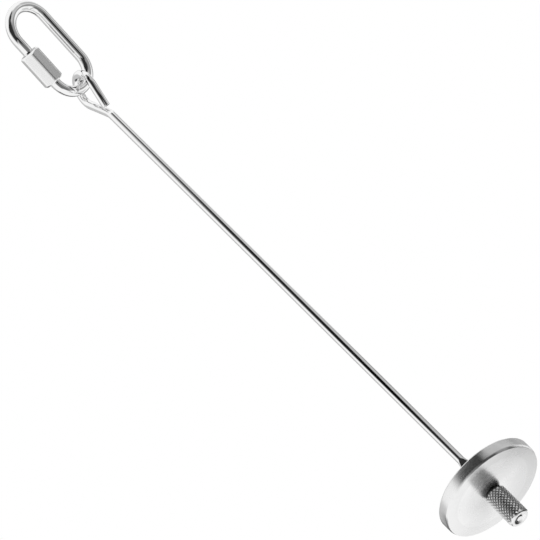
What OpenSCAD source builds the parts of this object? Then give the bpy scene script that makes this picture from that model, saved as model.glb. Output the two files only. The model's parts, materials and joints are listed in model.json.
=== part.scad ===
// Stainless steel food skewer for a bird cage, hanging from its quick link.
// The origin is where the link's upper bow bears on what carries it, and +Z is up.

/* [Quick link] */
// Diameter of the link's wire
link_wire_d = 4; // [3:0.5:5]
// Length of the link over its bows
link_l = 40.5; // [38:0.5:48]
// Width of the link over its legs
link_w = 21; // [19:0.5:24]
// Length of thread that the closed sleeve grips below the opening
link_stub_l = 1.2; // [1:0.1:2]

/* [Sleeve] */
// Width of the hexagon sleeve across its flats
sleeve_af = 7.4; // [6.6:0.1:8]
// Length of the sleeve
sleeve_l = 13.8; // [11:0.1:14.4]
// Diameter of the flat on each end of the sleeve
sleeve_end_d = 6.4; // [6:0.1:7.2]
// Height of the bevel between that flat and the corners
sleeve_bevel = 0.9; // [0.4:0.1:1.2]
// Bare leg left between the closed sleeve and the lower bow
sleeve_gap = 0.4; // [0.2:0.1:1]

/* [Link at rest] */
// Lean of the link in its own plane, towards the sleeve
link_tilt = 25; // [15:1:30]
// Lean of the link out of its own plane
link_swing = 30; // [20:1:35]
// Turn of the link about the rod's axis
link_turn = 17; // [0:1:25]

/* [Rod] */
// Diameter of the rod
rod_d = 3; // [2.5:0.1:3.5]
// Length from the eye's bearing point to the disc
rod_l = 230; // [150:1:300]
// Diameter of the clear space in the eye
eye_d = 9.4; // [9:0.1:11]
// Height of the eye's centre above the bend in the rod
eye_h = 15.4; // [14:0.1:20]
// Radius of that bend, at the middle of the wire
eye_bend_r = 6; // [3:0.5:8]
// Gap between the wire's free end and the rod
eye_end_gap = 0.2; // [0.1:0.05:0.6]

/* [Stop on the rod] */
// Height of the pressed ears above the disc
stop_rise = 7.5; // [1:0.1:20]
// Width over the two pressed ears
stop_w = 4.1; // [3.7:0.1:5]
// Height of the ears
stop_h = 5; // [3:0.1:6]
// Thickness of the ears
stop_t = 1.9; // [1.4:0.1:2.2]
// Radius of the die that pressed them
stop_die_r = 6; // [4:0.5:10]
// Turn of the ears from the eye's plane
stop_turn = 59; // [0:1:90]

/* [Thread on the rod] */
// Outside diameter of the thread
thread_d = 2.9; // [2.4:0.1:2.9]
// Depth of the thread's end inside the nut's mouth
thread_recess = 0.2; // [0.1:0.1:2]
// Bevel on the thread's end
thread_bevel = 0.4; // [0.2:0.1:0.6]

/* [Disc] */
// Diameter of the disc
disc_d = 40; // [30:1:60]
// Thickness of the disc
disc_t = 5; // [3:0.5:8]
// Width of the bevel on the nut's side
disc_bevel_w = 0.35; // [0.3:0.05:1.5]
// Height of that bevel
disc_bevel_h = 0.9; // [0.3:0.1:1.2]
// Small bevel on the food side
disc_edge = 0.4; // [0.2:0.1:0.8]

/* [Knurled nut] */
// Diameter of the nut
nut_d = 8; // [7:0.5:12]
// Length of the nut
nut_l = 15; // [10:0.5:20]
// Width of the bevel on the nut's outer end
nut_bevel_w = 0.6; // [0.3:0.1:0.8]
// Height of that bevel
nut_bevel_h = 1.2; // [0.6:0.1:2]
// Bevel on the end that meets the disc
nut_foot = 1; // [0.3:0.1:1.2]
// Diameter of the countersunk mouth
nut_mouth_d = 4.9; // [4:0.1:5.4]

/* [Fits] */
// Radial clearance of a threaded piece on its thread
thread_clear = 0.05; // [0.02:0.01:0.1]
// Radial clearance of the disc, which slides on the rod
disc_clear = 0.1; // [0.05:0.01:0.1]
// Gap between flat faces that seat on each other
seat_gap = 0.05; // [0.02:0.01:0.2]
// Gap between the eye and the link's bow
hang_gap = 0.35; // [0.3:0.05:0.6]

/* [Hidden] */
$fn = 64;
hex_sides = 6;
overcut = 1;

// The link, in a frame with its legs along Z and its plane across X
link_wire_r = link_wire_d / 2;
leg_y = (link_w - link_wire_d) / 2;
bow_top_z = link_wire_r - leg_y;
bow_low_z = bow_top_z - (link_l - link_w);
bow_bottom_z = bow_low_z - leg_y;

// The sleeve on its leg, and the opening that it closes
sleeve_low_z = bow_low_z + sleeve_gap;
sleeve_top_z = sleeve_low_z + sleeve_l;
sleeve_travel = bow_top_z - sleeve_top_z;
stub_top_z = sleeve_low_z + link_stub_l;
thread_low_z = sleeve_low_z + sleeve_travel + seat_gap;
sleeve_bore_d = link_wire_d + 2 * thread_clear;
sleeve_corner_d = sleeve_af / cos(180 / hex_sides);

// Where the eye hangs: the middle of the bow's wire at the bottom of the link, turned as the link is.
// Two round wires that cross at an angle to the rod stand further apart along it.
bow_low_point = bow_bottom_z * [
    cos(link_turn) * sin(link_swing) * cos(link_tilt) + sin(link_turn) * sin(link_tilt),
    sin(link_turn) * sin(link_swing) * cos(link_tilt) - cos(link_turn) * sin(link_tilt),
    cos(link_swing) * cos(link_tilt)
];
bow_rise = cos(link_swing) * sin(link_tilt);
bow_across = cos(link_turn) * cos(link_tilt) + sin(link_turn) * sin(link_swing) * sin(link_tilt);
wire_stand_off = (link_wire_r + rod_d / 2 + hang_gap) * sqrt(1 + pow(bow_rise / bow_across, 2));

// The rod, in a frame with its axis along Z and the bearing point of its eye at zero.
// The wire is a hair thicker where it bends, and its straight lengths lap into the bends.
rod_r = rod_d / 2;
bend_swell = 0.02;
bend_lap = 0.2;
bend_d = rod_d + bend_swell;
eye_r = (eye_d + rod_d) / 2;
eye_z = rod_r - eye_r;
bend_z = eye_z - eye_h;
bend_span = sqrt(pow(eye_bend_r, 2) + pow(eye_h, 2));
bend_turn = atan2(eye_h, eye_bend_r) + asin((eye_bend_r + eye_r) / bend_span) - 90;
bend_end = [-eye_bend_r * (1 - cos(bend_turn)), bend_z + eye_bend_r * sin(bend_turn)];
eye_left = [-eye_r * cos(bend_turn), eye_z - eye_r * sin(bend_turn)];
eye_right = [-eye_left.x, eye_left.y];
// The free end comes down a mirrored slope and is cut where its corner nears the other wire
corner_z = bend_end.y + bend_end.x / tan(bend_turn);
end_run = (rod_r * (1 + cos(2 * bend_turn)) + eye_end_gap) / sin(2 * bend_turn);
eye_end = [end_run * sin(bend_turn), corner_z + end_run * cos(bend_turn)];

// The stack on the rod's lower end
disc_top_z = -rod_l;
disc_low_z = disc_top_z - disc_t;
nut_top_z = disc_low_z - seat_gap;
nut_low_z = nut_top_z - nut_l;
// The thread ends in a shoulder, which stops the nut
shoulder_z = nut_top_z + seat_gap;
thread_end_z = nut_low_z + thread_recess;
stop_z = disc_top_z + stop_rise;
disc_bore_d = max(rod_d, thread_d) + 2 * disc_clear;
nut_bore_d = thread_d + 2 * thread_clear;
nut_mouth_h = (nut_mouth_d - nut_bore_d) / 2;

// The eye's wire stands over the bow's wire by that distance
rod_origin = bow_low_point + [0, 0, wire_stand_off - rod_r];

module in_link() {
    rotate([link_tilt, link_swing, link_turn]) children();
}

module in_rod() {
    translate(rod_origin) children();
}

// An arc of wire in the XZ plane, about the point [x, z]
module wire_arc(centre, radius, start, sweep, d) {
    translate([centre.x, 0, centre.y])
        rotate([90, 0, 0])
            rotate([0, 0, start])
                rotate_extrude(angle = sweep)
                    translate([radius, 0])
                        circle(d = d);
}

// A straight length of rod in the XZ plane, which laps into the bend at its start
module rod_run(from, to) {
    step = to - from;
    translate([from.x, 0, from.y])
        rotate([0, atan2(step.x, step.y), 0])
            translate([0, 0, -bend_lap])
                cylinder(d = rod_d, h = norm(step) + bend_lap);
}

module link_leg(side, low_z, top_z) {
    translate([0, side * leg_y, low_z])
        cylinder(d = link_wire_d, h = top_z - low_z);
}

module quick_link_body() {
    color("silver")
        in_link() {
            rotate([0, 0, 90]) {
                wire_arc([0, bow_top_z], leg_y, 0, 180, link_wire_d);
                wire_arc([0, bow_low_z], leg_y, 180, 180, link_wire_d);
            }
            link_leg(1, bow_low_z, bow_top_z);
            link_leg(-1, bow_low_z, stub_top_z);
            link_leg(-1, thread_low_z, bow_top_z);
        }
}

module quick_link_sleeve() {
    color("gainsboro")
        in_link()
            translate([0, -leg_y, sleeve_low_z])
                difference() {
                    intersection() {
                        rotate([0, 0, 30])
                            cylinder(d = sleeve_corner_d, h = sleeve_l, $fn = hex_sides);
                        rotate_extrude()
                            polygon([
                                [0, 0],
                                [sleeve_end_d / 2, 0],
                                [sleeve_corner_d / 2, sleeve_bevel],
                                [sleeve_corner_d / 2, sleeve_l - sleeve_bevel],
                                [sleeve_end_d / 2, sleeve_l],
                                [0, sleeve_l]
                            ]);
                    }
                    translate([0, 0, -overcut])
                        cylinder(d = sleeve_bore_d, h = sleeve_l + 2 * overcut);
                }
}

// The ears that the press drew out of the rod, with the dents of its die
module stop_ears() {
    translate([0, 0, stop_z])
        rotate([0, 0, stop_turn])
            rotate([90, 0, 0])
                translate([0, 0, -stop_t / 2])
                    linear_extrude(stop_t)
                        polygon([
                            [-stop_w / 2, 0],
                            [stop_w / 2, 0],
                            [stop_w / 2, stop_h / 3],
                            [rod_r, stop_h],
                            [-rod_r, stop_h],
                            [-stop_w / 2, stop_h / 3]
                        ]);
}

module stop_dents() {
    for (side = [-1, 1])
        translate([0, 0, stop_z + stop_h / 2])
            rotate([0, 0, stop_turn])
                translate([-stop_w, side * (stop_t / 2 + stop_die_r), 0])
                    rotate([0, 90, 0])
                        cylinder(r = stop_die_r, h = 2 * stop_w);
}

module skewer_rod() {
    color("silver")
        in_rod() {
            wire_arc([-eye_bend_r, bend_z], eye_bend_r, 0, bend_turn, bend_d);
            rod_run(bend_end, eye_left + bend_lap * [-sin(bend_turn), cos(bend_turn)]);
            wire_arc([0, eye_z], eye_r, -bend_turn, 180 + 2 * bend_turn, bend_d);
            rod_run(eye_right, eye_end);
            difference() {
                translate([0, 0, shoulder_z])
                    cylinder(d = rod_d, h = bend_z + bend_lap - shoulder_z);
                stop_dents();
            }
            stop_ears();
            translate([0, 0, thread_end_z + thread_bevel])
                cylinder(d = thread_d, h = shoulder_z - thread_end_z - thread_bevel);
            translate([0, 0, thread_end_z])
                cylinder(d1 = thread_d - 2 * thread_bevel, d2 = thread_d, h = thread_bevel);
        }
}

module base_disc() {
    color("whitesmoke")
        in_rod()
            rotate_extrude()
                polygon([
                    [disc_bore_d / 2, disc_low_z],
                    [disc_d / 2 - disc_bevel_w, disc_low_z],
                    [disc_d / 2, disc_low_z + disc_bevel_h],
                    [disc_d / 2, disc_top_z - disc_edge],
                    [disc_d / 2 - disc_edge, disc_top_z],
                    [disc_bore_d / 2, disc_top_z]
                ]);
}

module knurled_nut() {
    color("gray")
        in_rod()
            rotate_extrude()
                polygon([
                    [nut_mouth_d / 2, nut_low_z],
                    [nut_d / 2 - nut_bevel_w, nut_low_z],
                    [nut_d / 2, nut_low_z + nut_bevel_h],
                    [nut_d / 2, nut_top_z - nut_foot],
                    [nut_d / 2 - nut_foot, nut_top_z],
                    [nut_bore_d / 2, nut_top_z],
                    [nut_bore_d / 2, nut_low_z + nut_mouth_h]
                ]);
}

quick_link_body();
quick_link_sleeve();
skewer_rod();
base_disc();
knurled_nut();
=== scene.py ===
"""Looks of a stainless steel food skewer for a bird cage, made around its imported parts."""

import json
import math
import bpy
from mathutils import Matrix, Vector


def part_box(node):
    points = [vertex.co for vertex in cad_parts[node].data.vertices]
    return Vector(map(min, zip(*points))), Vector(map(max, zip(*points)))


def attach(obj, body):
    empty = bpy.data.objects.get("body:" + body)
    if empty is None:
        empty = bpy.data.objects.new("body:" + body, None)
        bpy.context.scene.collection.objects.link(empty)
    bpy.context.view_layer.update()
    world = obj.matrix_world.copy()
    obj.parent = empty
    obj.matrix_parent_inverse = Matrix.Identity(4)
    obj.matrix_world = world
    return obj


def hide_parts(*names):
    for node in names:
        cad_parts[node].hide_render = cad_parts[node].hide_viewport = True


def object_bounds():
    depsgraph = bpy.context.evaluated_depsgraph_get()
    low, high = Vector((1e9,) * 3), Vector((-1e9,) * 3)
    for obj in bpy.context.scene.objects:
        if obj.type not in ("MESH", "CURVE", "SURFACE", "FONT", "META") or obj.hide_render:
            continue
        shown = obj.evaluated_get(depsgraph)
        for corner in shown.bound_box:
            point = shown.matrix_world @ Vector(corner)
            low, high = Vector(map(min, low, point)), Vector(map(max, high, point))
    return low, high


bl_info = {
    "name": "Bird food skewer",
    "version": (1, 0, 0),
    "blender": (4, 5, 0),
    "location": "View3D > Sidebar > Skewer",
    "description": "Bends, turns and knurls the skewer's steel pieces and sets them in a studio",
    "category": "Object",
}

import bmesh
import bpy
from mathutils import Matrix, Vector

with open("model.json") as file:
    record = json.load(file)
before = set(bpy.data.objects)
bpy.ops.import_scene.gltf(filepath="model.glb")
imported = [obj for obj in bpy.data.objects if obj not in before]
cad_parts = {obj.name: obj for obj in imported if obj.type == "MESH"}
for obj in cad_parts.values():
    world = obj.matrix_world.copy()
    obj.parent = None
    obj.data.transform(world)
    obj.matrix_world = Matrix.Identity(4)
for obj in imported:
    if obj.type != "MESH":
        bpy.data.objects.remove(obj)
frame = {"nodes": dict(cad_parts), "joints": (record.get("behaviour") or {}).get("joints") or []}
CAD_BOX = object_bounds()

MM = 0.001
TAU = 2 * math.pi
X_AXIS = Vector((1, 0, 0))
Y_AXIS = Vector((0, 1, 0))
Z_AXIS = Vector((0, 0, 1))
JOINTS = {joint["name"]: joint for joint in frame["joints"]}

# How finely the shapes are divided
WIRE_SIDES = 64
TURNED_SIDES = 192
TENT_SIDES = 48
BOW_STEPS = 72
EYE_STEPS = 100
BEND_STEPS = 12
PRESS_ROWS = 40
LINK_THREAD_ROWS = 8
THREAD_ROWS = 6

# Height of a sharp step on the rod, and how near doubled vertices lie
SHOULDER = 0.01 * MM
MERGE = 0.001 * MM


def reach(node, axis):
    """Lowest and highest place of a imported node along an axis."""
    places = [vertex.co.dot(axis) for vertex in frame["nodes"][node].data.vertices]
    return min(places), max(places)


# The link leans, so its own axes come from the joints that follow them
LINK_UP = Vector(JOINTS["sleeve_slide"]["axis"]).normalized()
LINK_ACROSS = Vector(JOINTS["rod_swing"]["axis"]).normalized()
LINK_OUT = LINK_ACROSS.cross(LINK_UP)
IN_LINK = Matrix((LINK_OUT, LINK_ACROSS, LINK_UP)).transposed().to_4x4()
LINK_LOW, LINK_TOP = reach("quick_link_body", LINK_UP)
LINK_HALF_W = reach("quick_link_body", LINK_ACROSS)[1]
SLEEVE_LOW, SLEEVE_TOP = reach("quick_link_sleeve", LINK_UP)
SLEEVE_TRAVEL = JOINTS["sleeve_slide"]["range_m"][1]

# The rod, the disc and the nut share one upright axis
ROD_AXIS = Vector(JOINTS["nut_turn"]["pos_m"])
ROD_AXIS.z = 0
IN_ROD = Matrix.Translation(ROD_AXIS)
EYE_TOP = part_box("skewer_rod")[1].z
THREAD_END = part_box("skewer_rod")[0].z
EYE_HALF_W = (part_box("skewer_rod")[1].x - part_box("skewer_rod")[0].x) / 2
DISC_LOW, DISC_TOP = (corner.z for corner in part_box("base_disc"))
NUT_LOW, NUT_TOP = (corner.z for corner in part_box("knurled_nut"))


def outer_r(node):
    """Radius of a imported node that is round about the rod's axis."""
    return reach(node, X_AXIS)[1] - ROD_AXIS.x


def size(name, description, default):
    """A length that a user can change."""
    return bpy.props.FloatProperty(
        name=name, description=description, default=default, unit="LENGTH", subtype="DISTANCE", precision=5
    )


def turn(name, description, degrees):
    """An angle that a user can change."""
    return bpy.props.FloatProperty(
        name=name, description=description, default=math.radians(degrees), unit="ROTATION", subtype="ANGLE"
    )


def grey(name, description, level):
    """A neutral colour that a user can change."""
    return bpy.props.FloatVectorProperty(
        name=name, description=description, default=(level, level, level), min=0, max=1, subtype="COLOR"
    )


def fraction(name, description, default):
    """A share from 0 to 1 that a user can change."""
    return bpy.props.FloatProperty(
        name=name, description=description, default=default, min=0, max=1, subtype="FACTOR"
    )


class LinkSizes(bpy.types.PropertyGroup):
    wire_d: size("Wire", "Diameter of the link's wire", 4 * MM)
    stub_l: size("Stub", "Length of thread below the opening", 1.2 * MM)
    plain_l: size("Plain part", "Plain wire between the lower bow and its thread", 0.6 * MM)
    opening_gap: size("Opening gap", "Room between the open sleeve and the upper thread", 0.05 * MM)
    pitch: size("Pitch", "Pitch of the link's threads", 0.7 * MM)
    depth: size("Thread depth", "Depth of the link's threads", 0.34 * MM)
    end_round: size("End round", "Rounding of the cut ends", 0.3 * MM)


class SleeveSizes(bpy.types.PropertyGroup):
    flats: size("Across flats", "Width of the hexagon across its flats", 7.4 * MM)
    end_d: size("End", "Diameter of the turned flat on each end", 6.4 * MM)
    bevel: size("Bevel", "Height of the turned bevel at the corners", 0.9 * MM)
    bore_d: size("Bore", "Diameter of the bore over its thread's crests", 4.1 * MM)
    corner: size("Corner", "Depth to which the hexagon's corners are softened", 0.25 * MM)
    corner_left: fraction("Corner left", "Share of a corner that its softening leaves", 0.35)


class RodSizes(bpy.types.PropertyGroup):
    wire_d: size("Rod", "Diameter of the rod", 3 * MM)
    eye_h: size("Eye height", "Height of the eye's centre above the bend", 15.4 * MM)
    bend_r: size("Bend", "Radius of the bend below the eye", 6 * MM)
    end_gap: size("End gap", "Gap between the free end and the rod", 0.2 * MM)
    end_round: size("End round", "Rounding of the cut end", 0.18 * MM)
    stop_w: size("Stop width", "Width over the pressed ears", 4.1 * MM)
    stop_h: size("Stop height", "Height of the pressed ears", 5 * MM)
    stop_t: size("Stop thickness", "Thickness of the pressed ears", 1.9 * MM)
    die_r: size("Die", "Radius of the die that pressed the ears", 6 * MM)
    stop_turn: turn("Stop turn", "Turn of the ears from the eye's plane", 59)
    stop_rise: size("Stop rise", "Height of the pressed ears above the disc", 7.5 * MM)
    thread_d: size("Thread", "Outside diameter of the thread", 2.9 * MM)
    pitch: size("Pitch", "Pitch of the thread", 0.5 * MM)
    depth: size("Thread depth", "Depth of the thread", 0.26 * MM)
    thread_bevel: size("Thread bevel", "Bevel on the thread's end", 0.4 * MM)


class DiscSizes(bpy.types.PropertyGroup):
    bore_d: size("Bore", "Diameter of the hole for the rod", 3.2 * MM)
    bevel_w: size("Bevel width", "Width of the bevel on the nut's side", 0.35 * MM)
    bevel_h: size("Bevel height", "Height of the bevel on the nut's side", 0.9 * MM)
    edge: size("Edge", "Small bevel on the food side", 0.4 * MM)
    edge_round: size("Edge round", "Rounding where two turned faces meet", 0.08 * MM)
    lathe_pitch: size("Grain", "Width of the turned grooves", 0.14 * MM)
    step_d: size("Step", "Diameter where the face's second cut starts", 31 * MM)


class NutSizes(bpy.types.PropertyGroup):
    teeth: bpy.props.IntProperty(
        name="Teeth", description="Points of the knurl around the nut", default=17
    )
    row_pitch: size("Row pitch", "Length of one diamond along the nut", 1.48 * MM)
    knurl_depth: size("Knurl depth", "Depth of the knurl's grooves", 0.4 * MM)
    tip_flat: bpy.props.FloatProperty(
        name="Tip flat",
        description="Share of each point that is worn flat",
        default=42,
        subtype="PERCENTAGE",
    )
    bevel_w: size("Bevel width", "Width of the bevel on the outer end", 0.6 * MM)
    bevel_h: size("Bevel height", "Height of the bevel on the outer end", 1.2 * MM)
    foot: size("Foot", "Bevel on the end that meets the disc", 1 * MM)
    mouth_d: size("Mouth", "Diameter of the countersunk mouth", 4.9 * MM)
    bore_d: size("Bore", "Diameter of the bore over its thread's crests", 3 * MM)
    # Share of painted shade in the knurl's bottoms, where the corner at the disc has all of it
    pit_painted_shade: fraction("Pit dark", "How dark the knurl's bottoms are beside the corner at the disc", 0.6)


class SteelColours(bpy.types.PropertyGroup):
    wire: grey("Wire", "Polished wire of the link and the rod", 0.93)
    sleeve: grey("Sleeve", "Satin hexagon bar", 0.92)
    disc: grey("Disc", "Turned face of the disc", 0.94)
    nut: grey("Nut", "Points of the knurl", 0.97)
    # Painted shade: the colour laid in the bottoms of the threads and the knurl and in dark corners, where
    # shade falls
    groove: grey("Grooves", "Bottoms of the threads and the knurl, and dark corners", 0.08)


class StudioSettings(bpy.types.PropertyGroup):
    azimuth: turn("Azimuth", "Way that the camera stands round the skewer", 59)
    elevation: turn("Elevation", "Height of the camera over the horizon", -30)
    roll: turn("Roll", "Turn of the camera about its own line of sight", 45.29)
    distance: size("Distance", "Distance from the camera to the rod", 3.9)
    field: size("Field", "Width of the picture at the rod", 189.15 * MM)
    aim_drop: size("Aim", "How far below the eye's top the camera aims", 113 * MM)
    aim_right: size("Aim right", "Offset of the aim to the picture's right", 0.146 * MM)
    aim_up: size("Aim up", "Offset of the aim to the picture's top", 0.292 * MM)
    floor_drop: size("Floor", "How far below the skewer the floor lies", 8)
    tent_r: size("Light tent", "Radius of the light tent", 0.6)
    card_turn: turn("Card turn", "Way that the dark card stands from the nut", 84)
    card_away: size("Card away", "Distance from the nut to the dark card", 70 * MM)
    card_drop: size("Card drop", "How far the card's middle lies below the nut", 40 * MM)
    card_w: size("Card width", "Width and height of the dark card", 104 * MM)
    card_colour: grey("Card colour", "Light that the dark card gives", 0.03)
    floor_colour: grey("Floor colour", "Colour of the floor", 0.8)
    floor_half: size("Floor reach", "How far the floor reaches to each side", 40)
    floor_glow: fraction("Floor glow", "What lifts the shaded floor to the white of the room", 0.55)
    room_light: fraction("Room light", "Brightness of the room where it lights the skewer", 0.6)
    view_depth: size("View depth", "How far the camera sees", 100)


class SkewerSettings(bpy.types.PropertyGroup):
    link: bpy.props.PointerProperty(type=LinkSizes)
    sleeve: bpy.props.PointerProperty(type=SleeveSizes)
    rod: bpy.props.PointerProperty(type=RodSizes)
    disc: bpy.props.PointerProperty(type=DiscSizes)
    nut: bpy.props.PointerProperty(type=NutSizes)
    steel: bpy.props.PointerProperty(type=SteelColours)
    studio: bpy.props.PointerProperty(type=StudioSettings)


# Shader maths


class Value:
    """A socket in a node tree, which takes part in sums as a number does."""

    def __init__(self, nodes, socket):
        self.nodes = nodes
        self.socket = socket

    def __add__(self, other):
        return self.nodes.math("ADD", self, other)

    def __radd__(self, other):
        return self.nodes.math("ADD", other, self)

    def __sub__(self, other):
        return self.nodes.math("SUBTRACT", self, other)

    def __rsub__(self, other):
        return self.nodes.math("SUBTRACT", other, self)

    def __mul__(self, other):
        return self.nodes.math("MULTIPLY", self, other)

    def __rmul__(self, other):
        return self.nodes.math("MULTIPLY", other, self)

    def __truediv__(self, other):
        return self.nodes.math("DIVIDE", self, other)

    def __pow__(self, other):
        return self.nodes.math("POWER", self, other)


class Nodes:
    """A node tree that grows by one method."""

    def __init__(self, tree):
        self.tree = tree
        self.tree.nodes.clear()

    def add(self, kind, settings=None, sockets=None, out=0):
        """Adds a node, sets it, fills its sockets and hands back an output, or several."""
        node = self.tree.nodes.new(kind)
        for name, setting in (settings or {}).items():
            setattr(node, name, setting)
        for key, value in (sockets or {}).items():
            if isinstance(value, Value):
                self.tree.links.new(value.socket, node.inputs[key])
            else:
                node.inputs[key].default_value = value
        if isinstance(out, tuple):
            return [Value(self, node.outputs[name]) for name in out]
        return Value(self, node.outputs[out]) if len(node.outputs) else None

    def math(self, operation, first, second=0.0):
        """One sum on one or two values."""
        return self.add("ShaderNodeMath", {"operation": operation}, {0: first, 1: second})

    def axes(self, place):
        """The three coordinates of a place."""
        return self.add("ShaderNodeSeparateXYZ", None, {0: place}, out=("X", "Y", "Z"))

    def noise(self, place, scale, detail=2.0):
        """Noise from 0 to 1 at a place, with a scale for each axis in waves to the place's unit."""
        stretched = self.add("ShaderNodeVectorMath", {"operation": "MULTIPLY"}, {0: place, 1: scale})
        return self.add("ShaderNodeTexNoise", None, {"Vector": stretched, "Scale": 1.0, "Detail": detail})

    def between(self, value, low, high, to_low=0.0, to_high=1.0):
        """Maps low to high on to another range, smoothly and held at its ends."""
        return self.add(
            "ShaderNodeMapRange",
            {"interpolation_type": "SMOOTHSTEP"},
            {"Value": value, "From Min": low, "From Max": high, "To Min": to_low, "To Max": to_high},
        )

    def band(self, value, low, low_fade, high, high_fade):
        """1 from low to high, with a fade to 0 on either side."""
        return self.between(value, low - low_fade, low) * self.between(value, high, high + high_fade, 1, 0)

    def mixed(self, factor, first, second):
        """A colour between two colours."""
        ends = [end if isinstance(end, Value) else (*end, 1) for end in (first, second)]
        return self.add("ShaderNodeMix", {"data_type": "RGBA"}, {0: factor, 6: ends[0], 7: ends[1]}, out=2)


class Finish(Nodes):
    """The node tree of a new material."""

    def __init__(self, name):
        self.material = bpy.data.materials.new(name)
        self.material.use_nodes = True
        super().__init__(self.material.node_tree)

    def glow(self, colour):
        """Light of a colour."""
        return self.add("ShaderNodeEmission", None, {"Color": colour, "Strength": 1.0})

    def surface(self, shader):
        """Ends the finish in a shader and hands back its material."""
        self.add("ShaderNodeOutputMaterial", None, {"Surface": shader})
        return self.material


class Steel(Finish):
    """A steel finish on the piece's own straight coordinates, with Z along its axis."""

    def __init__(self, name):
        super().__init__(name)
        self.place = self.add("ShaderNodeAttribute", {"attribute_name": "straight"}, out="Vector")

    def painted_shade_places(self):
        """Painted shade: 1 in the bottoms of threads and knurls and in dark corners, and 0 on their crests.
        """
        groove = self.add("ShaderNodeAttribute", {"attribute_name": "groove"}, out="Fac")
        return self.between(groove, 0.05, 1)

    def finish(self, colour, roughness, height, depth, strength, anisotropy=0.0, grain_turn=0.0):
        """Ends the finish in a metal whose grain stands up by a height from 0 to 1."""
        bump = self.add("ShaderNodeBump", None, {"Strength": strength, "Distance": depth, "Height": height})
        shader = self.add(
            "ShaderNodeBsdfPrincipled",
            None,
            {
                "Base Color": colour,
                "Metallic": 1.0,
                "Roughness": roughness,
                "Anisotropic": anisotropy,
                "Anisotropic Rotation": grain_turn,
                "Normal": bump,
            },
        )
        return self.surface(shader)


def darker(colour, share):
    """A colour at a share of its brightness."""
    return [channel * share for channel in colour]


def polished_wire(name, colours):
    """Drawn and polished wire: a mirror with faint draw lines and a few hazy patches."""
    steel = Steel(name)
    lines = steel.noise(steel.place, (9000, 9000, 160))
    haze = steel.noise(steel.place, (260, 260, 90), detail=3.0)
    scuffs = steel.between(steel.noise(steel.place, (2600, 2600, 700), detail=4.0), 0.6, 0.75)
    worn = steel.mixed(haze * 0.5 + scuffs * 0.3, colours.wire, darker(colours.wire, 0.9))
    # Painted shade darkens the threads' bottoms and the rod end's bevel
    low = steel.painted_shade_places()
    colour = steel.mixed(low, worn, colours.groove)
    roughness = 0.05 + steel.between(haze, 0.4, 0.75) * 0.07 + scuffs * 0.05 + lines * 0.03 + low * 0.2
    return steel.finish(colour, roughness, lines + scuffs * 0.4, 0.004 * MM, 0.25)


def satin_bar(name, colours):
    """Hexagon bar with a fine drawn grain along it."""
    steel = Steel(name)
    grain = steel.noise(steel.place, (9000, 9000, 300), detail=3.0)
    haze = steel.noise(steel.place, (500, 500, 200))
    colour = steel.mixed(grain * 0.3 + haze * 0.5, colours.sleeve, darker(colours.sleeve, 0.9))
    roughness = 0.17 + grain * 0.04 + haze * 0.06
    return steel.finish(colour, roughness, grain, 0.001 * MM, 0.2)


def turned_disc(name, colours, sizes):
    """A face turned on a lathe: fine rings that wander a little round the axis."""
    steel = Steel(name)
    x, y, z = steel.axes(steel.place)
    radius = (x * x + y * y) ** 0.5
    ring_place = steel.add(
        "ShaderNodeCombineXYZ", None, {0: (radius + z) / sizes.lathe_pitch, 1: x / radius, 2: y / radius}
    )
    rings = steel.noise(ring_place, (1, 1.5, 1.5), detail=3.0)
    broad = steel.noise(ring_place, (0.12, 0.8, 0.8))
    smears = steel.between(steel.noise(steel.place, (70, 70, 70), detail=3.0), 0.35, 0.65)
    step_r = sizes.step_d / 2
    step_soft = step_r * 0.02
    rim = steel.between(radius, step_r - step_soft, step_r + step_soft)
    colour = steel.mixed(rings * 0.3 + smears * 0.4 + rim * 0.3, colours.disc, darker(colours.disc, 0.86))
    roughness = 0.19 + rings * 0.05 + broad * 0.06 + smears * 0.04
    height = rings + broad * 0.6
    return steel.finish(colour, roughness, height, 0.004 * MM, 0.3, anisotropy=0.6, grain_turn=0.25)


def knurled_steel(name, colours):
    """Cut knurl: bright worn points over dull grooves darkened by painted shade."""
    steel = Steel(name)
    grain = steel.noise(steel.place, (5000, 5000, 5000), detail=3.0)
    low = steel.painted_shade_places()
    worn = steel.mixed(grain, colours.nut, darker(colours.nut, 0.85))
    # Painted shade in the knurl's grooves and at its foot
    colour = steel.mixed(low, worn, colours.groove)
    roughness = 0.22 + low * 0.1 + grain * 0.08
    return steel.finish(colour, roughness, grain, 0.006 * MM, 0.3)


# Bending, turning and threading


def thread_drop(phase, depth):
    """How far a thread's flank lies under its crest at a phase of its pitch."""
    crest = 0.12
    root = 0.3
    away = abs((phase % 1) - 0.5) * 2
    return depth * min(max((away - crest) / (1 - crest - root), 0), 1)


def edges_at_angle(bm, degrees):
    """The edges where faces meet at more than an angle."""
    limit = math.radians(degrees)
    return [edge for edge in bm.edges if len(edge.link_faces) == 2 and edge.calc_face_angle() > limit]


def round_edges(bm, edges, width, segments=2):
    """Rounds edges by a small bevel."""
    bmesh.ops.bevel(
        bm,
        geom=edges,
        offset=width,
        offset_type="OFFSET",
        affect="EDGES",
        segments=segments,
        profile=0.5,
        material=-1,
    )


def new_ring(made):
    """The vertices that an operator made, and the edges between them."""
    ring = [item for item in made if isinstance(item, bmesh.types.BMVert)]
    edges = [item for item in made if isinstance(item, bmesh.types.BMEdge)]
    corners = set(ring)
    return ring, [edge for edge in edges if corners.issuperset(edge.verts)]


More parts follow.
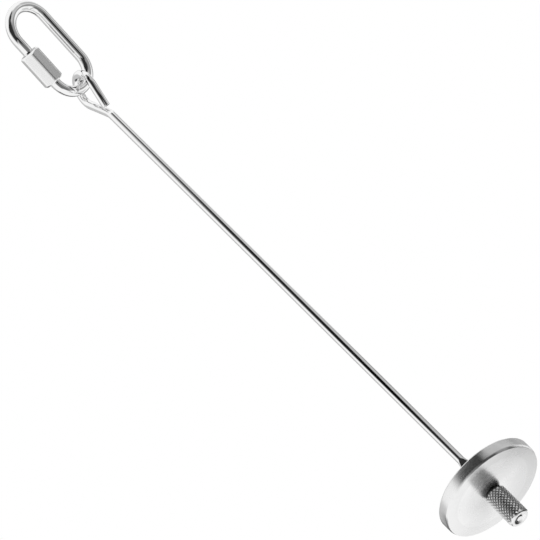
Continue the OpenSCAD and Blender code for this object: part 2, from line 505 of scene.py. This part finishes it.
class Wire:
    """A round wire that grows ring by ring and remembers how it lay when it was straight."""

    def __init__(self, start, along, side, radius, sides):
        self.bm = bmesh.new()
        self.straight = self.bm.verts.layers.float_vector.new("straight")
        # This layer holds painted shade, from 0 on the crests to 1 in the bottoms
        self.groove = self.bm.verts.layers.float.new("groove")
        self.ring = bmesh.ops.create_circle(self.bm, segments=sides, radius=radius)["verts"]
        for vert in self.ring:
            vert[self.straight] = vert.co
        place = Matrix((side, along.cross(side), along)).transposed().to_4x4()
        place.translation = start
        bmesh.ops.transform(self.bm, matrix=place, verts=self.ring)
        self.edges = list(self.bm.edges)
        self.first_edges = list(self.bm.edges)
        self.length = 0.0
        self.shaped = []

    def keep(self, made, travel):
        """Takes the new ring from what an operator made."""
        self.ring, self.edges = new_ring(made)
        self.length += travel
        for vert in self.ring:
            x, y, _ = vert[self.straight]
            vert[self.straight] = (x, y, self.length)

    def run(self, step):
        """Carries the wire straight on."""
        made = bmesh.ops.extrude_edge_only(self.bm, edges=self.edges)["geom"]
        self.keep(made, step.length)
        bmesh.ops.translate(self.bm, verts=self.ring, vec=step)

    def bend(self, centre, axis, angle, radius, steps):
        """Bends the wire round a centre."""
        for _ in range(steps):
            made = bmesh.ops.spin(
                self.bm, geom=self.ring + self.edges, cent=centre, axis=axis, angle=angle / steps, steps=1
            )["geom_last"]
            self.keep(made, radius * angle / steps)

    def middle(self):
        """The middle of the last ring."""
        return sum((vert.co for vert in self.ring), Vector()) / len(self.ring)

    def shape(self, outline):
        """Gives the last ring another outline once the wire is whole."""
        middle = self.middle()
        for vert in self.ring:
            out = (vert.co - middle).normalized()
            x, y, _ = vert[self.straight]
            self.shaped.append((vert, middle + outline(out, math.atan2(y, x))))

    def threaded(self, step, crest_r, pitch, depth, rows):
        """Runs on with a thread cut into the wire, in rows to a pitch, which fades out at both ends."""
        count = max(2, round(step.length / pitch * rows))
        for row in range(count + 1):
            if row:
                self.run(step / count)
            travel = row / count * step.length
            fade = min(1, travel / pitch, (step.length - travel) / pitch)
            self.shape(
                lambda out, angle: out * (crest_r - thread_drop(travel / pitch - angle / TAU, depth * fade))
            )
            # Painted shade follows the thread's depth and is darkest in its bottoms
            for vert in self.ring:
                x, y, _ = vert[self.straight]
                vert[self.groove] = thread_drop(travel / pitch - math.atan2(y, x) / TAU, fade)

    def finished(self, end_round):
        """Closes both ends and rounds the first one."""
        for vert, place in self.shaped:
            vert.co = place
        bmesh.ops.edgeloop_fill(self.bm, edges=self.edges)
        bmesh.ops.edgeloop_fill(self.bm, edges=self.first_edges)
        round_edges(self.bm, self.first_edges, end_round)
        return self.bm


class Turning:
    """A piece with a round or angled section about the Z axis, grown ring by ring."""

    def __init__(self, sides, radius, height):
        self.bm = bmesh.new()
        self.angle = self.bm.verts.layers.float.new("angle")
        self.ring = bmesh.ops.create_circle(self.bm, segments=sides, radius=1)["verts"]
        for vert in self.ring:
            vert[self.angle] = math.atan2(vert.co.y, vert.co.x) % TAU
        self.edges = list(self.bm.edges)
        self.first_edges = list(self.bm.edges)
        self.place(radius, height)

    def place(self, radius, height):
        """Sets the last ring: a radius and a height, as numbers or by the angle."""
        for vert in self.ring:
            angle = vert[self.angle]
            r = radius(angle) if callable(radius) else radius
            z = height(angle) if callable(height) else height
            vert.co = (r * math.cos(angle), r * math.sin(angle), z)

    def grow(self, radius, height):
        """Adds a ring."""
        made = bmesh.ops.extrude_edge_only(self.bm, edges=self.edges)["geom"]
        self.ring, self.edges = new_ring(made)
        self.place(radius, height)
        return self.ring

    def threaded(self, crest_r, low, high, pitch, depth):
        """Adds a thread inside a bore, from one height to another."""
        count = max(2, round(abs(high - low) / pitch * THREAD_ROWS))
        for row in range(1, count):
            z = low + (high - low) * row / count
            cut = depth * min(1, abs(z - low) / pitch, abs(high - z) / pitch)
            self.grow(lambda angle: crest_r + cut - thread_drop(z / pitch - angle / TAU, cut), z)
        self.grow(crest_r, high)

    def finished(self):
        """Joins the last ring to the first."""
        bmesh.ops.bridge_loops(self.bm, edges=self.edges + self.first_edges)
        return self.bm


def set_in_place(bm, place):
    """Keeps every vertex's place about the piece's own axis, and moves the piece to where it belongs."""
    straight = bm.verts.layers.float_vector.new("straight")
    for vert in bm.verts:
        vert[straight] = vert.co
    bmesh.ops.transform(bm, matrix=place, verts=bm.verts)


def make_piece(name, bm, material, node, body, sharp=35):
    """Turns a finished mesh, smooth up to an angle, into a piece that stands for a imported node."""
    bmesh.ops.recalc_face_normals(bm, faces=bm.faces)
    mesh = bpy.data.meshes.new(name)
    bm.to_mesh(mesh)
    bm.free()
    mesh.shade_smooth()
    mesh.set_sharp_from_angle(angle=math.radians(sharp))
    mesh.materials.append(material)
    piece = bpy.data.objects.new(name, mesh)
    bpy.context.scene.collection.objects.link(piece)
    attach(piece, body)
    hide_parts(node)
    return piece


class SKEWER_OT_link_body(bpy.types.Operator):
    """Bends the link's wire to an oval and threads the two ends at its opening"""

    bl_idname = "skewer.link_body"
    bl_label = "Quick link body"

    def execute(self, context):
        skewer = context.scene.skewer
        sizes = skewer.link
        wire_r = sizes.wire_d / 2
        leg = LINK_HALF_W - wire_r
        bow_top = LINK_TOP - LINK_HALF_W
        bow_low = LINK_LOW + LINK_HALF_W
        stub_top = SLEEVE_LOW + sizes.stub_l
        upper_end = SLEEVE_LOW + SLEEVE_TRAVEL + sizes.opening_gap
        stub_thread = stub_top - bow_low - sizes.plain_l
        upper_thread = SLEEVE_TOP - upper_end - sizes.pitch
        low_centre = IN_LINK @ Vector((0, 0, bow_low))
        top_centre = IN_LINK @ Vector((0, 0, bow_top))
        start = IN_LINK @ Vector((0, -leg, stub_top))
        thread = (wire_r, sizes.pitch, sizes.depth, LINK_THREAD_ROWS)

        # The stub's end is rounded by a bevel, which needs some plain wire
        stub_plain = sizes.end_round * 1.5
        wire = Wire(start, -LINK_UP, LINK_OUT, wire_r, WIRE_SIDES)
        wire.run(-LINK_UP * stub_plain)
        wire.threaded(-LINK_UP * (stub_thread - stub_plain), *thread)
        wire.run(-LINK_UP * sizes.plain_l)
        wire.bend(low_centre, LINK_OUT, math.pi, leg, BOW_STEPS)
        wire.run(LINK_UP * (bow_top - bow_low))
        wire.bend(top_centre, LINK_OUT, math.pi, leg, BOW_STEPS)
        wire.run(-LINK_UP * (bow_top - upper_end - upper_thread))
        wire.threaded(-LINK_UP * (upper_thread - sizes.end_round), *thread)
        wire.run(-LINK_UP * sizes.end_round)
        wire.shape(lambda out, angle: out * (wire_r - sizes.end_round))
        bm = wire.finished(sizes.end_round)
        finish = polished_wire("polished link wire", skewer.steel)
        make_piece("link_oval", bm, finish, "quick_link_body", "link")
        return {"FINISHED"}


class SKEWER_OT_link_sleeve(bpy.types.Operator):
    """Cuts the hexagon sleeve with its turned ends and its threaded bore"""

    bl_idname = "skewer.link_sleeve"
    bl_label = "Quick link sleeve"

    def execute(self, context):
        skewer = context.scene.skewer
        sizes = skewer.sleeve
        link = skewer.link
        leg = LINK_HALF_W - link.wire_d / 2
        half_flat = sizes.flats / 2
        corner_r = half_flat / math.cos(math.pi / 6)
        end_r = sizes.end_d / 2
        bore_r = sizes.bore_d / 2

        def hexagon(angle):
            """Distance from the axis to the hexagon, with its corners softened."""
            from_flat = (angle + math.pi / 6) % (math.pi / 3) - math.pi / 6
            sharp_r = half_flat / math.cos(from_flat)
            soft_r = corner_r - sizes.corner
            return min(sharp_r, soft_r + (sharp_r - soft_r) * sizes.corner_left)

        def bevel_rise(angle):
            """Height at which the turned bevel meets the flats."""
            return sizes.bevel * (hexagon(angle) - end_r) / (corner_r - end_r)

        sleeve = Turning(TURNED_SIDES, bore_r, SLEEVE_LOW)
        sleeve.grow(end_r, SLEEVE_LOW)
        sleeve.grow(hexagon, lambda angle: SLEEVE_LOW + bevel_rise(angle))
        sleeve.grow(hexagon, lambda angle: SLEEVE_TOP - bevel_rise(angle))
        sleeve.grow(end_r, SLEEVE_TOP)
        sleeve.grow(bore_r, SLEEVE_TOP)
        sleeve.threaded(bore_r, SLEEVE_TOP, SLEEVE_LOW + link.pitch, link.pitch, link.depth)
        bm = sleeve.finished()
        set_in_place(bm, IN_LINK @ Matrix.Translation((0, -leg, 0)))
        finish = satin_bar("satin sleeve", skewer.steel)
        make_piece("link_hex_sleeve", bm, finish, "quick_link_sleeve", "sleeve", sharp=20)
        return {"FINISHED"}


class SKEWER_OT_rod(bpy.types.Operator):
    """Bends the eye, presses the stop and threads the lower end of the rod"""

    bl_idname = "skewer.rod"
    bl_label = "Rod with its eye"

    def execute(self, context):
        skewer = context.scene.skewer
        sizes = skewer.rod
        wire = self.bent_eye(sizes)
        self.press_stop(wire, sizes)
        self.cut_thread(wire, sizes)
        bm = wire.finished(sizes.end_round)
        finish = polished_wire("polished rod", skewer.steel)
        make_piece("rod_with_eye", bm, finish, "skewer_rod", "rod")
        return {"FINISHED"}

    def bent_eye(self, sizes):
        """Starts at the wire's free end and bends it round the eye and into the rod's line."""
        rod_r = sizes.wire_d / 2
        eye_r = EYE_HALF_W - rod_r
        eye_z = EYE_TOP - EYE_HALF_W
        bend_z = eye_z - sizes.eye_h
        span = math.hypot(sizes.bend_r, sizes.eye_h)
        lean = math.atan2(sizes.eye_h, sizes.bend_r)
        slope = lean + math.asin((sizes.bend_r + eye_r) / span) - math.pi / 2

        def at(x, z):
            """A place in the eye's plane."""
            return IN_ROD @ Vector((x, 0, z))

        bend_end = at(-sizes.bend_r * (1 - math.cos(slope)), bend_z + sizes.bend_r * math.sin(slope))
        eye_left = at(-eye_r * math.cos(slope), eye_z - eye_r * math.sin(slope))
        eye_right = at(eye_r * math.cos(slope), eye_z - eye_r * math.sin(slope))
        corner_z = bend_end.z - sizes.bend_r * (1 - math.cos(slope)) / math.tan(slope)
        end_run = (rod_r * (1 + math.cos(2 * slope)) + sizes.end_gap) / math.sin(2 * slope)
        eye_end = at(end_run * math.sin(slope), corner_z + end_run * math.cos(slope))
        wire = Wire(eye_end, (eye_right - eye_end).normalized(), Y_AXIS, rod_r, WIRE_SIDES)
        wire.run(eye_right - eye_end)
        wire.bend(at(0, eye_z), -Y_AXIS, math.pi + 2 * slope, eye_r, EYE_STEPS)
        wire.run(bend_end - eye_left)
        wire.bend(at(-sizes.bend_r, bend_z), Y_AXIS, slope, sizes.bend_r, BEND_STEPS)
        return wire

    def press_stop(self, wire, sizes):
        """Runs the rod down to the stop, where a press spreads two ears and a round die dents them."""
        rod_r = sizes.wire_d / 2
        stop_low = DISC_TOP + sizes.stop_rise
        stop_top = stop_low + sizes.stop_h
        stop_middle = (stop_low + stop_top) / 2
        press_top = stop_top + sizes.stop_h / 2
        flare = sizes.stop_h * 2 / 3
        ears = Vector((math.cos(sizes.stop_turn), math.sin(sizes.stop_turn), 0))
        flats = ears.cross(Z_AXIS)
        wire.run(Z_AXIS * (press_top - wire.middle().z))
        drop = (press_top - stop_low) / PRESS_ROWS
        for _ in range(PRESS_ROWS):
            wire.run(-Z_AXIS * drop)
            z = wire.middle().z
            spread = min(max((stop_top - z) / flare, 0), 1)
            half_w = rod_r + (sizes.stop_w / 2 - rod_r) * spread
            from_die = min(abs(z - stop_middle), sizes.die_r)
            half_t = min(rod_r, sizes.stop_t / 2 + sizes.die_r - math.sqrt(sizes.die_r**2 - from_die**2))
            wire.shape(
                lambda out, angle: ears * out.dot(ears) * half_w
                + flats * min(max(out.dot(flats) * rod_r, -half_t), half_t)
            )

    def cut_thread(self, wire, sizes):
        """Takes the rod through the disc and threads it from there to its end."""
        thread_r = sizes.thread_d / 2
        shoulder = -Z_AXIS * SHOULDER
        wire.run(shoulder)
        wire.run(Z_AXIS * (DISC_LOW - wire.middle().z))
        wire.run(shoulder)
        wire.shape(lambda out, angle: out * thread_r)
        thread_l = wire.middle().z - THREAD_END - sizes.thread_bevel
        wire.threaded(-Z_AXIS * thread_l, thread_r, sizes.pitch, sizes.depth, THREAD_ROWS)

        # The end's bevel gets full painted shade, as dark as the thread's bottom, and its flat face is left
        # bright
        for share, groove in ((0.2, 1), (0.9, 1), (1, 0)):
            wire.run(Z_AXIS * (THREAD_END + sizes.thread_bevel * (1 - share) - wire.middle().z))
            wire.shape(lambda out, angle: out * (thread_r - sizes.thread_bevel * share))
            for vert in wire.ring:
                vert[wire.groove] = groove


class SKEWER_OT_disc(bpy.types.Operator):
    """Turns the round base disc"""

    bl_idname = "skewer.disc"
    bl_label = "Base disc"

    def execute(self, context):
        skewer = context.scene.skewer
        sizes = skewer.disc
        disc_r = outer_r("base_disc")
        bore_r = sizes.bore_d / 2
        profile = [
            (bore_r, DISC_LOW),
            (disc_r - sizes.bevel_w, DISC_LOW),
            (disc_r, DISC_LOW + sizes.bevel_h),
            (disc_r, DISC_TOP - sizes.edge),
            (disc_r - sizes.edge, DISC_TOP),
            (bore_r, DISC_TOP),
        ]
        bm = bmesh.new()
        corners = [bm.verts.new((radius, 0, z)) for radius, z in profile]
        edges = [bm.edges.new((corner, corners[i - 1])) for i, corner in enumerate(corners)]
        bmesh.ops.spin(bm, geom=corners + edges, axis=Z_AXIS, angle=TAU, steps=TURNED_SIDES, use_merge=True)
        bmesh.ops.remove_doubles(bm, verts=bm.verts, dist=MERGE)
        bmesh.ops.recalc_face_normals(bm, faces=bm.faces)
        round_edges(bm, edges_at_angle(bm, degrees=20), sizes.edge_round, segments=3)
        set_in_place(bm, IN_ROD)
        finish = turned_disc("turned disc", skewer.steel, sizes)
        make_piece("turned_base_disc", bm, finish, "base_disc", "disc", sharp=50)
        return {"FINISHED"}


class SKEWER_OT_nut(bpy.types.Operator):
    """Knurls the nut with points between two sets of crossing grooves"""

    bl_idname = "skewer.nut"
    bl_label = "Knurled nut"

    def execute(self, context):
        skewer = context.scene.skewer
        sizes = skewer.nut
        thread = skewer.rod
        crest_r = outer_r("knurled_nut")
        root_r = crest_r - sizes.knurl_depth
        bore_r = sizes.bore_d / 2
        mouth_r = sizes.mouth_d / 2
        sides = 2 * sizes.teeth
        knurl_top = NUT_TOP - sizes.foot
        knurl_low = NUT_LOW + sizes.bevel_h * (1 - sizes.knurl_depth / sizes.bevel_w)
        rows = round((knurl_top - knurl_low) / sizes.row_pitch * 2)
        nut = Turning(sides, bore_r, NUT_TOP)
        # This layer holds the nut's painted shade
        groove = nut.bm.verts.layers.float.new("groove")
        foot = nut.grow(crest_r - sizes.foot, NUT_TOP)
        tips = []
        pits = []

        # The first and the last row have no points. A quarter of a column keeps math.floor clear of rounding
        for row in range(rows + 1):
            ring = nut.grow(root_r, knurl_top + (knurl_low - knurl_top) * row / rows)
            cut_row = row in (0, rows)
            for vert in ring:
                column = math.floor(vert[nut.angle] / TAU * sides + 0.25)
                is_tip = (row + column) % 2 == 1 and not cut_row
                (tips if is_tip else pits).append(vert)
        point_r = root_r + sizes.knurl_depth / (1 - sizes.tip_flat / 100)
        for vert in tips:
            vert.co.x *= point_r / root_r
            vert.co.y *= point_r / root_r
        nut.grow(crest_r - sizes.bevel_w, NUT_LOW)
        nut.grow(mouth_r, NUT_LOW)
        nut.grow(bore_r, NUT_LOW + mouth_r - bore_r)
        nut.threaded(bore_r, NUT_LOW + mouth_r - bore_r, NUT_TOP - thread.pitch, thread.pitch, thread.depth)
        bm = nut.finished()
        # Painted shade: the knurl's bottoms take a share of it, and the foot's bevel at the disc with the
        # first row of pits takes all of it
        for vert in pits[sides:-sides]:
            vert[groove] = sizes.pit_painted_shade
        for vert in foot + pits[:sides]:
            vert[groove] = 1
        bmesh.ops.connect_verts(bm, verts=pits)
        bmesh.ops.bevel(
            bm,
            geom=tips,
            offset=sizes.tip_flat,
            offset_type="PERCENT",
            affect="VERTICES",
            segments=1,
            profile=0.5,
            material=-1,
        )
        set_in_place(bm, IN_ROD)
        finish = knurled_steel("knurled steel", skewer.steel)
        make_piece("nut_with_knurl", bm, finish, "knurled_nut", "nut", sharp=25)
        return {"FINISHED"}


# Panels of the light tent, in degrees as seen from its middle: start, soft start, end and soft end
# round the rod, then foot, soft foot, top and soft top, then the share of light that each takes away
TENT_PANELS = [
    ("black flag", (-52, 30, 0, 5), (-24, 8, 25, 6), 0.97),
    ("flag's middle", (-42, 40, 10, 6), (23, 3, 32, 8), 0.95),
    ("flag's top", (-8, 50, 14, 10), (32, 8, 44, 8), 0.88),
    ("flag's hem", (0, 3, 10, 10), (-8, 6, 10, 5), 0.6),
    ("black skirt", (2, 30, 24, 6), (-32, 5, -22, 8), 0.95),
    ("dark apron", (-30, 25, 40, 20), (-60, 10, -34, 10), 0.82),
    ("grey wall", (3, 3, 64, 8), (-32, 6, 0, 8), 0.68),
    ("pale wall", (4, 4, 44, 10), (6, 8, 34, 8), 0.46),
    ("pale corner", (54, 8, 80, 24), (14, 6, 42, 6), 0.5),
    ("dim corner", (84, 10, 124, 12), (8, 6, 24, 6), 0.55),
    ("rear wall", (150, 25, 225, 20), (10, 10, 52, 12), 0.42),
    ("rear corner", (134, 8, 168, 12), (-6, 10, 52, 12), 0.55),
    ("rear post", (178, 14, 212, 6), (-8, 6, 14, 4), 0.85),
    ("rear card", (104, 14, 142, 10), (-54, 8, -30, 8), 0.35),
    ("ceiling", (-180, 0, 180, 0), (56, 14, 90, 0), 0.3),
]

# Softboxes: place from the hang point and width in metres, and power in watts
LAMPS = [
    ("key softbox", (-0.9, -1.6, 0.9), 1.2, 6),
    ("fill softbox", (1.5, 0.6, -0.8), 1.5, 3),
]


class SKEWER_OT_studio(bpy.types.Operator):
    """Sets the camera, the white room with its floor, the light tent, the dark card and the soft lamps"""

    bl_idname = "skewer.studio"
    bl_label = "Studio"

    def execute(self, context):
        scene = context.scene
        studio = scene.skewer.studio
        self.make_camera(scene, studio)
        self.make_world(scene, studio)
        self.make_floor(scene, studio)
        self.make_tent(scene, studio)
        self.make_card(scene, studio)
        for lamp in LAMPS:
            self.make_lamp(scene, *lamp)
        scene.view_settings.view_transform = "Standard"
        return {"FINISHED"}

    def make_camera(self, scene, studio):
        """Stands the camera where the photograph was taken from."""
        flat = math.cos(studio.elevation)
        back = Vector(
            (math.sin(studio.azimuth) * flat, -math.cos(studio.azimuth) * flat, math.sin(studio.elevation))
        )
        level = Z_AXIS.cross(back).normalized()
        above = back.cross(level)
        right = level * math.cos(studio.roll) - above * math.sin(studio.roll)
        up = level * math.sin(studio.roll) + above * math.cos(studio.roll)
        aim = ROD_AXIS + Z_AXIS * (EYE_TOP - studio.aim_drop)
        aim += right * studio.aim_right + up * studio.aim_up
        data = bpy.data.cameras.new("camera")
        data.lens = data.sensor_width * studio.distance / studio.field
        data.clip_end = studio.view_depth
        camera = bpy.data.objects.new("camera", data)
        place = Matrix((right, up, back)).transposed().to_4x4()
        place.translation = aim + back * studio.distance
        camera.matrix_world = place
        scene.collection.objects.link(camera)
        scene.camera = camera

    def make_world(self, scene, studio):
        """Makes a room that looks white and lights the skewer softly."""
        scene.world = bpy.data.worlds.new("white room")
        scene.world.use_nodes = True
        nodes = Nodes(scene.world.node_tree)
        level = studio.room_light + (1 - studio.room_light) * self.seen(nodes)
        light = nodes.add("ShaderNodeBackground", None, {"Color": level, "Strength": 1.0})
        nodes.add("ShaderNodeOutputWorld", None, {"Surface": light})

    def seen(self, nodes):
        """1 for rays from the camera or from a mirror or glass, and 0 for others."""
        rays = ("Is Camera Ray", "Is Glossy Ray", "Is Transmission Ray")
        camera, glossy, through = nodes.add("ShaderNodeLightPath", None, None, out=rays)
        return nodes.math("MAXIMUM", camera, nodes.math("MAXIMUM", glossy, through))

    def make_floor(self, scene, studio):
        """Lays a matt floor, lifted to the room's white where it is seen, which still takes shadows."""
        bm = bmesh.new()
        bmesh.ops.create_grid(bm, x_segments=1, y_segments=1, size=studio.floor_half)
        bmesh.ops.translate(bm, verts=bm.verts, vec=-Z_AXIS * studio.floor_drop)
        pale = Finish("pale floor")
        matt = pale.add("ShaderNodeBsdfDiffuse", None, {"Color": (*studio.floor_colour, 1)})
        lift = pale.glow(self.seen(pale) * studio.floor_glow)
        shader = pale.add("ShaderNodeAddShader", None, {0: matt, 1: lift})
        self.stage_piece(scene, "floor", bm, pale.surface(shader))

    def make_tent(self, scene, studio):
        """Hangs a round light tent about the skewer, for the steel to mirror."""
        bm = bmesh.new()
        bmesh.ops.create_uvsphere(
            bm, u_segments=TENT_SIDES, v_segments=TENT_SIDES // 2, radius=studio.tent_r
        )
        cloth = Finish("light tent cloth")
        x, y, z = cloth.axes(cloth.add("ShaderNodeTexCoord", None, None, out="Object"))
        height = cloth.math("DEGREES", cloth.math("ARCSINE", z / studio.tent_r))
        light = 1.0
        for _, (start, fade_in, end, fade_out), foot_to_top, taken in TENT_PANELS:
            middle = math.radians((start + end) / 2)
            half = (end - start) / 2
            ahead = x * math.cos(middle) + y * math.sin(middle)
            aside = y * math.cos(middle) - x * math.sin(middle)
            off = cloth.math("DEGREES", cloth.math("ARCTAN2", aside, ahead))
            inside = cloth.band(off, -half, fade_in, half, fade_out) * cloth.band(height, *foot_to_top)
            light = light * (1 - inside * taken)
        tent = self.stage_piece(scene, "light_tent", bm, cloth.surface(cloth.glow(light)))
        tent.location = (CAD_BOX[0] + CAD_BOX[1]) / 2
        self.mirrored_only(tent)

    def make_card(self, scene, studio):
        """Stands a dark card beside the nut and lower, for the knurl and the disc to mirror."""
        away = Vector((math.cos(studio.card_turn), math.sin(studio.card_turn), 0))
        place = Matrix((away.cross(Z_AXIS), Z_AXIS, away)).transposed().to_4x4()
        place.translation = ROD_AXIS + away * studio.card_away + Z_AXIS * (NUT_LOW - studio.card_drop)
        bm = bmesh.new()
        bmesh.ops.create_grid(bm, x_segments=1, y_segments=1, size=studio.card_w / 2, matrix=place)
        paper = Finish("dark card")
        dark = paper.glow((*studio.card_colour, 1))
        card = self.stage_piece(scene, "dark_card", bm, paper.surface(dark))
        self.mirrored_only(card)

    def mirrored_only(self, piece):
        """Hides a piece of the stage from all but reflections."""
        piece.visible_camera = False
        piece.visible_diffuse = False
        piece.visible_shadow = False

    def stage_piece(self, scene, name, bm, material):
        """Turns a finished mesh into a piece of the stage."""
        mesh = bpy.data.meshes.new(name)
        bm.to_mesh(mesh)
        bm.free()
        mesh.materials.append(material)
        piece = bpy.data.objects.new(name, mesh)
        scene.collection.objects.link(piece)
        return piece

    def make_lamp(self, scene, name, place, width, power):
        """Hangs a softbox that faces the hang point and isn't mirrored."""
        data = bpy.data.lights.new(name, "AREA")
        data.size = width
        data.energy = power
        lamp = bpy.data.objects.new(name, data)
        lamp.location = place
        lamp.visible_glossy = False
        lamp.rotation_mode = "QUATERNION"
        lamp.rotation_quaternion = (-Vector(place)).to_track_quat("-Z", "Y")
        scene.collection.objects.link(lamp)


OPERATORS = (
    SKEWER_OT_link_body,
    SKEWER_OT_link_sleeve,
    SKEWER_OT_rod,
    SKEWER_OT_disc,
    SKEWER_OT_nut,
    SKEWER_OT_studio,
)


class SKEWER_PT_panel(bpy.types.Panel):
    """Lists the skewer's pieces and their sizes"""

    bl_idname = "SKEWER_PT_panel"
    bl_label = "Bird food skewer"
    bl_space_type = "VIEW_3D"
    bl_region_type = "UI"
    bl_category = "Skewer"

    def draw(self, context):
        groups = ("link", "sleeve", "rod", "disc", "nut", "studio")
        for operator, group in zip(OPERATORS, groups):
            box = self.layout.box()
            box.operator(operator.bl_idname)
            sizes = getattr(context.scene.skewer, group)
            for name in sizes.__annotations__:
                box.prop(sizes, name)
        colours = self.layout.box()
        for name in context.scene.skewer.steel.__annotations__:
            colours.prop(context.scene.skewer.steel, name)


CLASSES = (
    LinkSizes,
    SleeveSizes,
    RodSizes,
    DiscSizes,
    NutSizes,
    SteelColours,
    StudioSettings,
    SkewerSettings,
    *OPERATORS,
    SKEWER_PT_panel,
)


def register():
    """Adds the classes and gives every scene its settings."""
    for item in CLASSES:
        bpy.utils.register_class(item)
    bpy.types.Scene.skewer = bpy.props.PointerProperty(type=SkewerSettings)


def unregister():
    """Takes the settings and the classes away again."""
    del bpy.types.Scene.skewer
    for item in reversed(CLASSES):
        bpy.utils.unregister_class(item)


def main():
    """Makes the studio and every piece."""
    register()
    bpy.ops.skewer.studio()
    bpy.ops.skewer.link_body()
    bpy.ops.skewer.link_sleeve()
    bpy.ops.skewer.rod()
    bpy.ops.skewer.disc()
    bpy.ops.skewer.nut()


if __name__ == "__main__":
    main()
